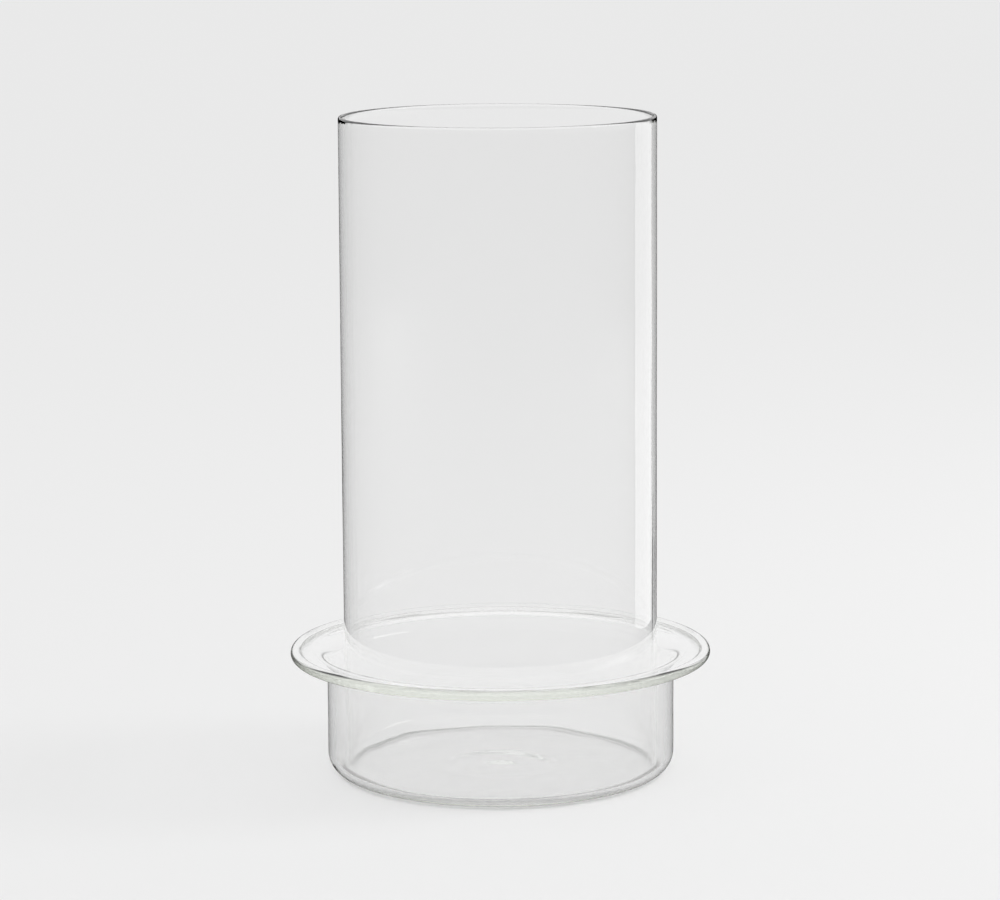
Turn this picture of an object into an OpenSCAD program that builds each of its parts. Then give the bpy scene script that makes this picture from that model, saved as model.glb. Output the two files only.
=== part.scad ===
// Hurricane candle lantern in clear glass: a straight chimney, open at both ends, that stands loose
// inside a shallow dish with a wide flat flange. A candle stands on the dish's floor.
// Millimetres, +Z up, with the origin at the centre of the dish's underside.

/* [Chimney] */
// Outside diameter of the chimney
chimney_d = 152; // [110:1:180]
// Thickness of the chimney's glass
chimney_t = 2.2; // [1.8:0.1:4]
// Height of the whole lantern, up to the chimney's top lip
lantern_h = 319; // [180:1:420]

/* [Dish] */
// Thickness of the dish's glass, the same in its floor, wall and flange
dish_t = 3; // [2.4:0.1:5]
// Gap all round between the chimney and the dish's wall
ring_gap = 5.25; // [4:0.05:12]
// Outside radius of the corner between the dish's wall and its floor
corner_r = 10; // [8:0.5:16]
// Height of the middle of the flange's rim above the surface
flange_z = 59.1; // [40:0.1:90]

/* [Flange] */
// How far the flange reaches out past the dish's wall
flange_w = 17.75; // [14:0.05:30]
// Radius of the bend under the flange, where it turns out of the wall
bend_r = 7; // [1:0.5:7.5]
// Thickness of the fire-polished bead that ends the flange
bead_d = 5.3; // [5:0.1:8]

/* [Pressing marks] */
// Radius of the wide shallow ring under the floor
wide_mark_r = 29; // [20:1:40]
// Radius of the small button at the middle of that ring
button_r = 9; // [5:1:14]
// Depth of each of the two marks
mark_depth = 0.4; // [0.2:0.1:0.6]

/* [Hidden] */
$fn = 180;

// The chimney's lip is round, so it meets the dish's floor along a line, and this hair of air
// keeps the two glasses apart
seat_gap = 0.2;
chimney_r = chimney_d / 2;
lip_r = chimney_t / 2;
chimney_foot_z = dish_t + seat_gap;

dish_r = chimney_r + ring_gap + dish_t;
floor_r = dish_r - corner_r;
bend_z = flange_z - dish_t / 2 - bend_r;
bead_r = bead_d / 2;
bead_x = dish_r + flange_w - bead_r;

// Section of the chimney's wall: a straight strip with a half-round lip at both ends
module chimney_section() {
    translate([chimney_r - lip_r, 0]) {
        translate([-lip_r, chimney_foot_z + lip_r])
            square([chimney_t, lantern_h - chimney_foot_z - chimney_t]);
        translate([0, chimney_foot_z + lip_r]) circle(r = lip_r);
        translate([0, lantern_h - lip_r]) circle(r = lip_r);
    }
}

// A quarter bend in glass dish_t thick, of radius r on its hollow side. It fills the quadrant
// that side_x and side_z (1 or -1) point to from the bend's centre.
module glass_bend(r, side_x, side_z) {
    outer_r = r + dish_t;
    intersection() {
        difference() {
            circle(r = outer_r);
            circle(r = r);
        }
        translate([min(side_x, 0) * outer_r, min(side_z, 0) * outer_r]) square(outer_r);
    }
}

// Section of the dish, from the middle of its floor out along the wall to the flange's bead
module dish_section() {
    square([floor_r, dish_t]);
    translate([floor_r, corner_r]) glass_bend(corner_r - dish_t, 1, -1);
    translate([dish_r - dish_t, corner_r]) square([dish_t, bend_z - corner_r]);
    translate([dish_r + bend_r, bend_z]) glass_bend(bend_r, -1, 1);
    translate([dish_r + bend_r, flange_z - dish_t / 2])
        square([bead_x - dish_r - bend_r, dish_t]);
    translate([bead_x, flange_z]) circle(r = bead_r);
}

// A shallow round mark cut up into the underside
module floor_mark(r, depth) {
    translate([0, 0, -1]) cylinder(r = r, h = 1 + depth);
}

module flanged_dish() {
    color([0.84, 0.89, 0.85, 0.4])
        difference() {
            rotate_extrude() dish_section();
            floor_mark(wide_mark_r, mark_depth);
            floor_mark(button_r, 2 * mark_depth);
        }
}

module glass_chimney() {
    color([0.88, 0.92, 0.9, 0.35]) rotate_extrude() chimney_section();
}

flanged_dish();
glass_chimney();
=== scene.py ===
"""Hurricane candle lantern: a clear glass chimney standing loose in a flanged glass dish.

Both CAD pieces are replaced by finely lathed glass with the slight waves of blown work. Metres, +Z up,
in the CAD model's own frame.
"""
import math

import bmesh
import bpy
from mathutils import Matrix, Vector, noise


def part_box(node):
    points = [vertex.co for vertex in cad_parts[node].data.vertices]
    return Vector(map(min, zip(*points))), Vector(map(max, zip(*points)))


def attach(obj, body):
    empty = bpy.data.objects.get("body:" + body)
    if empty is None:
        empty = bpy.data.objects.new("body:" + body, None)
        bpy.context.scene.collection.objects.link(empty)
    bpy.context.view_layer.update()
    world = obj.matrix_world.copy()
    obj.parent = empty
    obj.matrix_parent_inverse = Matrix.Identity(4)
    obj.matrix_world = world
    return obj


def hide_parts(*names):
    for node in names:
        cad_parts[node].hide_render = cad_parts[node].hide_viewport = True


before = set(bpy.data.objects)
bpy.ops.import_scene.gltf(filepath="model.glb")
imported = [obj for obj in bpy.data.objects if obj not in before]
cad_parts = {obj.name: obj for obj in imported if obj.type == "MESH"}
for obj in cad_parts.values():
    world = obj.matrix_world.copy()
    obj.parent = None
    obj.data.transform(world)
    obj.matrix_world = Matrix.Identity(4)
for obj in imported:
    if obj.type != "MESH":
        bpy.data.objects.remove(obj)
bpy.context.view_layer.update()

# ---------------------------------------------------------------- sizes, from the frame

CHIMNEY_LOW, CHIMNEY_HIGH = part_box("glass_chimney")
DISH_LOW, DISH_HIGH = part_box("flanged_dish")

CHIMNEY_R = CHIMNEY_HIGH.x
CHIMNEY_T = 0.0022
LIP_R = CHIMNEY_T / 2

DISH_T = 0.0030
RING_GAP = 0.00525
DISH_R = CHIMNEY_R + RING_GAP + DISH_T
CORNER_R = 0.010
BEND_R = 0.007
BEAD_R = 0.00265
BEAD_X = DISH_HIGH.x - BEAD_R
BEAD_Z = DISH_HIGH.z - BEAD_R
BEAD_FILLET_R = 0.0008
FLOOR_R = DISH_R - CORNER_R
BEND_Z = BEAD_Z - DISH_T / 2 - BEND_R
WIDE_MARK_R = 0.029
BUTTON_R = 0.009
MARK_DEPTH = 0.00025
MARK_SLOPE = 0.010

SEGMENTS = 288
STEP = 0.004
LIP_STEPS = 12
BEAD_STEPS = 32
FILLET_STEPS = 4
MARK_STEPS = 8
MARK_REACH = 0.8
AXIS_R = 1e-6


# ---------------------------------------------------------------- sections of the glass

def arc(x, z, radius, start_deg, end_deg, steps):
    """Points of a circular arc, from the angle start_deg to end_deg, both ends included."""
    points = []
    for i in range(steps + 1):
        angle = math.radians(start_deg + (end_deg - start_deg) * i / steps)
        points.append((x + radius * math.cos(angle), z + radius * math.sin(angle)))
    return points


def between(first, last, steps):
    """Evenly spaced points between two points, neither of them included."""
    return [
        (
            first[0] + (last[0] - first[0]) * i / steps,
            first[1] + (last[1] - first[1]) * i / steps,
        )
        for i in range(1, steps)
    ]


def joined(*stretches):
    """One outline from several stretches, with straight runs of fine steps between their ends."""
    outline = list(stretches[0])
    for stretch in stretches[1:]:
        gap = math.dist(outline[-1], stretch[0])
        outline += between(outline[-1], stretch[0], max(1, round(gap / STEP)))
        outline += stretch
    return outline


def chimney_section():
    """Closed outline of the chimney's wall, with round lips."""
    x = CHIMNEY_R - LIP_R
    low = CHIMNEY_LOW.z + LIP_R
    high = CHIMNEY_HIGH.z - LIP_R
    lower_lip = arc(x, low, LIP_R, 180, 360, LIP_STEPS)
    upper_lip = arc(x, high, LIP_R, 0, 180, LIP_STEPS)
    outline = joined(lower_lip, upper_lip)
    gap = math.dist(outline[-1], outline[0])
    return outline + between(outline[-1], outline[0], round(gap / STEP))


def bead_outline():
    """The flange's bead, from the plate's underside round to its top, with a small fillet at each."""
    offset = DISH_T / 2 + BEAD_FILLET_R
    reach = math.sqrt((BEAD_R + BEAD_FILLET_R) ** 2 - offset ** 2)
    turn = math.degrees(math.atan2(offset, reach))
    x = BEAD_X - reach
    under = arc(x, BEAD_Z - offset, BEAD_FILLET_R, 90, turn, FILLET_STEPS)
    bead = arc(BEAD_X, BEAD_Z, BEAD_R, turn - 180, 180 - turn, BEAD_STEPS)
    over = arc(x, BEAD_Z + offset, BEAD_FILLET_R, -turn, -90, FILLET_STEPS)
    return under[:-1] + bead + over[1:]


def mark_edge(radius, level):
    """The soft step of an underside mark, down to the level that surrounds it."""
    width = min(MARK_SLOPE, MARK_REACH * radius)
    points = []
    for i in range(MARK_STEPS + 1):
        part = i / MARK_STEPS
        fall = part * part * (3 - 2 * part)
        points.append((radius - width * (1 - part), level + MARK_DEPTH * (1 - fall)))
    return points


def dish_section():
    """Outline of the dish from the middle of its underside, out round the flange, to the floor's middle."""
    inner_corner_r = CORNER_R - DISH_T
    outer_bend_r = BEND_R + DISH_T
    bend_x = DISH_R + BEND_R
    return joined(
        [(0.0, 2 * MARK_DEPTH)],
        mark_edge(BUTTON_R, MARK_DEPTH),
        mark_edge(WIDE_MARK_R, 0.0),
        arc(FLOOR_R, CORNER_R, CORNER_R, -90, 0, 16),
        arc(bend_x, BEND_Z, BEND_R, 180, 90, 8),
        bead_outline(),
        arc(bend_x, BEND_Z, outer_bend_r, 90, 180, 14),
        arc(FLOOR_R, CORNER_R, inner_corner_r, 0, -90, 14),
        [(0.0, DISH_T)],
    )


# ---------------------------------------------------------------- lathed glass with blown waves

def section_normals(section, closed):
    """A unit vector square to the outline at each of its points, pointing out of the glass."""
    normals = []
    count = len(section)
    for i in range(count):
        before = section[i - 1] if closed or i else section[0]
        after = section[(i + 1) % count] if closed or i < count - 1 else section[-1]
        along = Vector((after[0] - before[0], after[1] - before[1])).normalized()
        normals.append((along.y, -along.x))
    return normals


def lathe(name, section, closed, wave):
    """Turns a section about +Z. wave(point, normal) says how far each point is pushed out of the glass."""
    mesh = bpy.data.meshes.new(name)
    bm = bmesh.new()
    rings = []
    for (r, z), (nr, nz) in zip(section, section_normals(section, closed)):
        if r < AXIS_R:
            rings.append([bm.verts.new((0.0, 0.0, z))])
            continue
        ring = []
        for i in range(SEGMENTS):
            angle = 2 * math.pi * i / SEGMENTS
            out = Vector((math.cos(angle), math.sin(angle), 0.0))
            point = out * r + Vector((0.0, 0.0, z))
            normal = out * nr + Vector((0.0, 0.0, nz))
            ring.append(bm.verts.new(point + normal * wave(point, normal)))
        rings.append(ring)
    pairs = list(zip(rings, rings[1:]))
    if closed:
        pairs.append((rings[-1], rings[0]))
    for lower, upper in pairs:
        for i in range(SEGMENTS):
            j = (i + 1) % SEGMENTS
            corners = [lower[i % len(lower)], lower[j % len(lower)]]
            corners += [upper[j % len(upper)], upper[i % len(upper)]]
            unique = list(dict.fromkeys(corners))
            bm.faces.new(unique)
    bmesh.ops.recalc_face_normals(bm, faces=bm.faces)
    for face in bm.faces:
        face.smooth = True
    bm.to_mesh(mesh)
    bm.free()
    piece = bpy.data.objects.new(name, mesh)
    bpy.context.scene.collection.objects.link(piece)
    return piece


# Each wave: how far it pushes, how wide and how tall it is. The seeds keep faces and waves apart.
CHIMNEY_SLOW = (0.00016, 0.045, 0.075)
CHIMNEY_LINES = (0.00003, 0.009, 0.20)
CHIMNEY_LINES_SEED = 5
CHIMNEY_OUTER_SEED = 3.7
CHIMNEY_INNER_SEED = 11.3
DISH_RIPPLE = (0.00022, 0.035, 0.016)
DISH_OUTER_SEED = 7.1
DISH_INNER_SEED = 19.9
DISH_OUTER_SHARE = 0.45
INWARD = -0.3
CALM_TOP = 0.050
CALM_SPAN = 0.012
CALM_LEAST = 0.1


def ripple(point, width, height, seed):
    """Smooth noise from -1 to 1, whose waves are about width across and height tall."""
    place = Vector((point.x / width, point.y / width, point.z / height + seed))
    return noise.noise(place)


def chimney_wave(point, normal):
    """Draw lines that run up the tube, and a slow unevenness of its wall."""
    radial = Vector((point.x, point.y, 0.0)).normalized().dot(normal)
    seed = CHIMNEY_OUTER_SEED if radial > 0 else CHIMNEY_INNER_SEED
    push, width, height = CHIMNEY_SLOW
    slow = push * ripple(point, width, height, seed)
    push, width, height = CHIMNEY_LINES
    lines = push * ripple(point, width, height, seed + CHIMNEY_LINES_SEED)
    return slow + lines


def dish_wave(point, normal):
    """Level ripples left by the mould, strongest inside the wall and calm on the flange."""
    radial = Vector((point.x, point.y, 0.0)).normalized().dot(normal)
    inside = 1.0 if radial < INWARD else DISH_OUTER_SHARE
    seed = DISH_OUTER_SEED if radial > 0 else DISH_INNER_SEED
    calm = min(1.0, max(CALM_LEAST, (CALM_TOP - point.z) / CALM_SPAN))
    push, width, height = DISH_RIPPLE
    return push * inside * calm * ripple(point, width, height, seed)


# ---------------------------------------------------------------- materials

GLASS_IOR = 1.52
GLASS_COLOUR = (0.99, 0.99, 0.99, 1.0)
CHIMNEY_LINE_SCALE = (110.0, 110.0, 5.0)
CHIMNEY_LINE_STRENGTH = 0.10
DISH_LINE_SCALE = (60.0, 60.0, 90.0)
DISH_LINE_STRENGTH = 0.04
LINE_DEPTH = 0.0006
SMUDGE_SCALE = 28.0
SMUDGE_FROM = 0.5
SMUDGE_TO = 0.8
SMUDGE_ROUGHNESS = 0.02
DEPTH_COLOUR = (0.62, 0.74, 0.45, 1.0)
DEPTH_DENSITY = 0.7
FLOOR_GRAIN_SCALE = 3.0
FLOOR_TONES = (0.80, 0.82)


def add_node(tree, kind, **inputs):
    """A new node, with the inputs given by name set to plain values."""
    node = tree.nodes.new(kind)
    for label, value in inputs.items():
        node.inputs[label.replace("_", " ")].default_value = value
    return node


def new_material(name):
    """An empty material and its node tree."""
    material = bpy.data.materials.new(name)
    material.use_nodes = True
    material.node_tree.nodes.clear()
    return material, material.node_tree


def glass_material(name, line_scale, ripple_strength):
    """Clear soda glass: faint draw lines and smudges, and a faint green depth colour."""
    material, tree = new_material(name)
    link = tree.links.new
    output = tree.nodes.new("ShaderNodeOutputMaterial")
    glass = add_node(tree, "ShaderNodeBsdfPrincipled", IOR=GLASS_IOR, Transmission_Weight=1.0)
    glass.inputs["Base Color"].default_value = GLASS_COLOUR
    place = tree.nodes.new("ShaderNodeTexCoord")

    stretch = tree.nodes.new("ShaderNodeMapping")
    stretch.inputs["Scale"].default_value = line_scale
    link(place.outputs["Object"], stretch.inputs["Vector"])
    lines = add_node(tree, "ShaderNodeTexNoise", Scale=1.0, Detail=3.0, Roughness=0.5)
    link(stretch.outputs["Vector"], lines.inputs["Vector"])
    bump = add_node(tree, "ShaderNodeBump", Strength=ripple_strength, Distance=LINE_DEPTH)
    link(lines.outputs["Fac"], bump.inputs["Height"])
    link(bump.outputs["Normal"], glass.inputs["Normal"])

    smudge = add_node(tree, "ShaderNodeTexNoise", Scale=SMUDGE_SCALE, Detail=4.0, Roughness=0.6)
    link(place.outputs["Object"], smudge.inputs["Vector"])
    film = tree.nodes.new("ShaderNodeMapRange")
    film.inputs["From Min"].default_value = SMUDGE_FROM
    film.inputs["From Max"].default_value = SMUDGE_TO
    film.inputs["To Min"].default_value = 0.0
    film.inputs["To Max"].default_value = SMUDGE_ROUGHNESS
    link(smudge.outputs["Fac"], film.inputs["Value"])
    link(film.outputs["Result"], glass.inputs["Roughness"])

    depth = tree.nodes.new("ShaderNodeVolumeAbsorption")
    depth.inputs["Color"].default_value = DEPTH_COLOUR
    depth.inputs["Density"].default_value = DEPTH_DENSITY
    link(glass.outputs["BSDF"], output.inputs["Surface"])
    link(depth.outputs["Volume"], output.inputs["Volume"])
    return material


def floor_material():
    """Plain matt pale board with a trace of grain."""
    material, tree = new_material("pale_floor")
    output = tree.nodes.new("ShaderNodeOutputMaterial")
    board = add_node(tree, "ShaderNodeBsdfPrincipled", Roughness=1.0)
    board.inputs["Specular IOR Level"].default_value = 0.0
    grain = add_node(tree, "ShaderNodeTexNoise", Scale=FLOOR_GRAIN_SCALE, Detail=2.0)
    tone = tree.nodes.new("ShaderNodeValToRGB")
    for stop, level in zip(tone.color_ramp.elements, FLOOR_TONES):
        stop.color = (level, level, level, 1.0)
    tree.links.new(grain.outputs["Fac"], tone.inputs["Fac"])
    tree.links.new(tone.outputs["Color"], board.inputs["Base Color"])
    tree.links.new(board.outputs["BSDF"], output.inputs["Surface"])
    return material


def card_material(name, level):
    """An even card of one brightness."""
    material, tree = new_material(name)
    output = tree.nodes.new("ShaderNodeOutputMaterial")
    card = tree.nodes.new("ShaderNodeEmission")
    card.inputs["Color"].default_value = (level, level, level, 1.0)
    tree.links.new(card.outputs["Emission"], output.inputs["Surface"])
    return material


# ---------------------------------------------------------------- studio

FLOOR_SIZE = 30.0
FLOOR_Z = -0.0004
SHEET_LIFT = 0.0001
DARK_LEVEL = 0.0
WALL_R = 14.0
WALL_SEGMENTS = 96
WALL_DARK_DEG = 3.0
WALL_PALE_DEG = 7.0
WALL_PALE_LEVEL = 0.863
REFLECTOR_NEAR = (0.27, 0.29, 0.0)
REFLECTOR_FAR = (0.39, 0.13, 0.0)
REFLECTOR_HEIGHT = 0.36
REFLECTOR_LEVEL = 1.15
STRIP_LOW = (1.6, 0.70)
STRIP_HIGH = (1.5, 0.86)
STRIP_SPAN_Y = (-0.5, 0.7)
STRIP_LEVEL = 3.2
HORIZON_LEVEL = 0.83
OVERHEAD_LEVEL = 1.08
OVERHEAD_POSITION = 0.9
SOFTBOX_PLACE = (1.6, 0.1, 0.75)
SOFTBOX_TARGET = (0, 0, 0.1)
SOFTBOX_SIZE = 0.7
SOFTBOX_POWER = 5.0
CAMERA_PLACE = (0.00035, -1.8006, 0.4576)
CAMERA_PITCH_DEG = -9.463
CAMERA_ROLL_DEG = -0.315
CAMERA_LENS = 136.1
SENSOR_WIDTH = 36.0


def flat_object(name, corners, material):
    """A single four-cornered sheet."""
    return sheet_object(name, corners, [(0, 1, 2, 3)], material)


def sheet_object(name, corners, faces, material):
    """A piece of the studio, from its corners and faces."""
    mesh = bpy.data.meshes.new(name)
    mesh.from_pydata(corners, [], faces)
    mesh.materials.append(material)
    sheet = bpy.data.objects.new(name, mesh)
    bpy.context.scene.collection.objects.link(sheet)
    return sheet


def make_floor():
    """The pale floor that the lantern stands on."""
    half = FLOOR_SIZE / 2
    corners = [(-half, -half), (half, -half), (half, half), (-half, half)]
    flat_object("floor", [(x, y, FLOOR_Z) for x, y in corners], floor_material())


def mirrored_only(card, through_glass=False):
    """Hides a card from everything but mirror reflections, and if asked what is seen through the glass."""
    card.visible_camera = False
    card.visible_diffuse = False
    card.visible_transmission = through_glass
    card.visible_shadow = False
    card.visible_volume_scatter = False


def make_dark_sheet():
    """A dark sheet on the floor that only mirror reflections meet. The upright glass reflects it most
    where it turns edge-on, which gives clear glass on a pale floor its dark outlines."""
    half = FLOOR_SIZE / 2
    z = FLOOR_Z + SHEET_LIFT
    corners = [(-half, -half, z), (half, -half, z), (half, half, z), (-half, half, z)]
    mirrored_only(flat_object("dark_sheet", corners, card_material("dark_card", DARK_LEVEL)))


def fading_material(low, high, level):
    """A card that rises smoothly from dark at the height low to level at the height high."""
    material, tree = new_material("fading_card")
    output = tree.nodes.new("ShaderNodeOutputMaterial")
    place = tree.nodes.new("ShaderNodeTexCoord")
    split = tree.nodes.new("ShaderNodeSeparateXYZ")
    fade = tree.nodes.new("ShaderNodeMapRange")
    fade.interpolation_type = "SMOOTHSTEP"
    fade.inputs["From Min"].default_value = low
    fade.inputs["From Max"].default_value = high
    fade.inputs["To Min"].default_value = DARK_LEVEL
    fade.inputs["To Max"].default_value = level
    card = tree.nodes.new("ShaderNodeEmission")
    card.inputs["Color"].default_value = (1.0, 1.0, 1.0, 1.0)
    tree.links.new(place.outputs["Object"], split.inputs["Vector"])
    tree.links.new(split.outputs["Z"], fade.inputs["Value"])
    tree.links.new(fade.outputs["Result"], card.inputs["Strength"])
    tree.links.new(card.outputs["Emission"], output.inputs["Surface"])
    return material


def make_far_wall():
    """A round wall far off that only mirror reflections meet. It carries the dark sheet a little above the
    horizon and fades into the room, so that no mirrored horizon crosses the glass in low views."""
    high = WALL_R * math.tan(math.radians(WALL_PALE_DEG))
    low = WALL_R * math.tan(math.radians(WALL_DARK_DEG))
    corners = []
    for z in (FLOOR_Z, high):
        for i in range(WALL_SEGMENTS):
            angle = 2 * math.pi * i / WALL_SEGMENTS
            corners.append((WALL_R * math.cos(angle), WALL_R * math.sin(angle), z))
    faces = []
    for i in range(WALL_SEGMENTS):
        j = (i + 1) % WALL_SEGMENTS
        faces.append((i, j, WALL_SEGMENTS + j, WALL_SEGMENTS + i))
    material = fading_material(low, high, WALL_PALE_LEVEL)
    mirrored_only(sheet_object("far_wall", corners, faces, material))


def make_reflector():
    """A bright card at the right, a little behind the lantern, for the light streak up that side. Only
    the outer faces of the glass reflect it."""
    near = Vector(REFLECTOR_NEAR)
    far = Vector(REFLECTOR_FAR)
    up = Vector((0.0, 0.0, REFLECTOR_HEIGHT))
    material = card_material("bright_card", REFLECTOR_LEVEL)
    mirrored_only(flat_object("reflector", [near, far, far + up, near + up], material))


def make_strip():
    """A long bright card high at the right, for the streaks on the dish's curves. Only the glass sees it."""
    low_x, low_z = STRIP_LOW
    high_x, high_z = STRIP_HIGH
    front, back = STRIP_SPAN_Y
    corners = [(low_x, front, low_z), (low_x, back, low_z), (high_x, back, high_z), (high_x, front, high_z)]
    card = flat_object("strip", corners, card_material("strip_card", STRIP_LEVEL))
    mirrored_only(card, through_glass=True)


def make_world():
    """An even pale room, a little brighter overhead than at the horizon."""
    world = bpy.data.worlds.new("studio")
    bpy.context.scene.world = world
    world.use_nodes = True
    tree = world.node_tree
    tree.nodes.clear()
    link = tree.links.new
    output = tree.nodes.new("ShaderNodeOutputWorld")
    sky = tree.nodes.new("ShaderNodeBackground")
    place = tree.nodes.new("ShaderNodeTexCoord")
    split = tree.nodes.new("ShaderNodeSeparateXYZ")
    rise = tree.nodes.new("ShaderNodeValToRGB")
    stops = ((0.0, HORIZON_LEVEL), (OVERHEAD_POSITION, OVERHEAD_LEVEL))
    for element, (position, level) in zip(rise.color_ramp.elements, stops):
        element.position = position
        element.color = (level, level, level, 1.0)
    link(place.outputs["Generated"], split.inputs["Vector"])
    link(split.outputs["Z"], rise.inputs["Fac"])
    link(rise.outputs["Color"], sky.inputs["Color"])
    link(sky.outputs["Background"], output.inputs["Surface"])


def make_softbox():
    """A soft light at the right for the floor's faint shadow. The glass doesn't show it."""
    data = bpy.data.lights.new("side_softbox", "AREA")
    data.shape = "RECTANGLE"
    data.size = SOFTBOX_SIZE
    data.size_y = SOFTBOX_SIZE
    data.energy = SOFTBOX_POWER
    light = bpy.data.objects.new("side_softbox", data)
    light.location = SOFTBOX_PLACE
    aim = Vector(SOFTBOX_TARGET) - Vector(SOFTBOX_PLACE)
    light.rotation_euler = aim.to_track_quat("-Z", "Y").to_euler()
    light.visible_camera = False
    light.visible_glossy = False
    light.visible_transmission = False
    bpy.context.scene.collection.objects.link(light)


def make_camera():
    """The photograph's view: a long lens, a little above the lantern."""
    data = bpy.data.cameras.new("camera")
    data.sensor_width = SENSOR_WIDTH
    data.lens = CAMERA_LENS
    data.clip_end = 100.0
    camera = bpy.data.objects.new("camera", data)
    camera.location = CAMERA_PLACE
    camera.rotation_mode = "XYZ"
    pitch = math.radians(90 + CAMERA_PITCH_DEG)
    roll = math.radians(CAMERA_ROLL_DEG)
    camera.rotation_euler = (pitch, 0.0, 0.0)
    camera.rotation_euler.rotate_axis("Z", roll)
    bpy.context.scene.collection.objects.link(camera)
    bpy.context.scene.camera = camera


def set_cycles():
    """Plain view colours, and enough bounces to see through all the glass with its mirror images sharp."""
    scene = bpy.context.scene
    scene.view_settings.view_transform = "Standard"
    cycles = scene.cycles
    cycles.use_denoising = True
    cycles.max_bounces = 64
    cycles.transmission_bounces = 64
    cycles.glossy_bounces = 64
    cycles.sample_clamp_indirect = 4.0
    cycles.blur_glossy = 0.0


# ---------------------------------------------------------------- the lantern

make_camera()
set_cycles()
make_world()
make_floor()
make_dark_sheet()
make_far_wall()
make_reflector()
make_strip()
make_softbox()

chimney = lathe("blown_chimney", chimney_section(), True, chimney_wave)
chimney.data.materials.append(glass_material("chimney_glass", CHIMNEY_LINE_SCALE, CHIMNEY_LINE_STRENGTH))
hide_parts("glass_chimney")
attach(chimney, "chimney")

dish = lathe("flanged_dish_glass", dish_section(), False, dish_wave)
dish.data.materials.append(glass_material("dish_glass", DISH_LINE_SCALE, DISH_LINE_STRENGTH))
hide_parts("flanged_dish")
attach(dish, "dish")
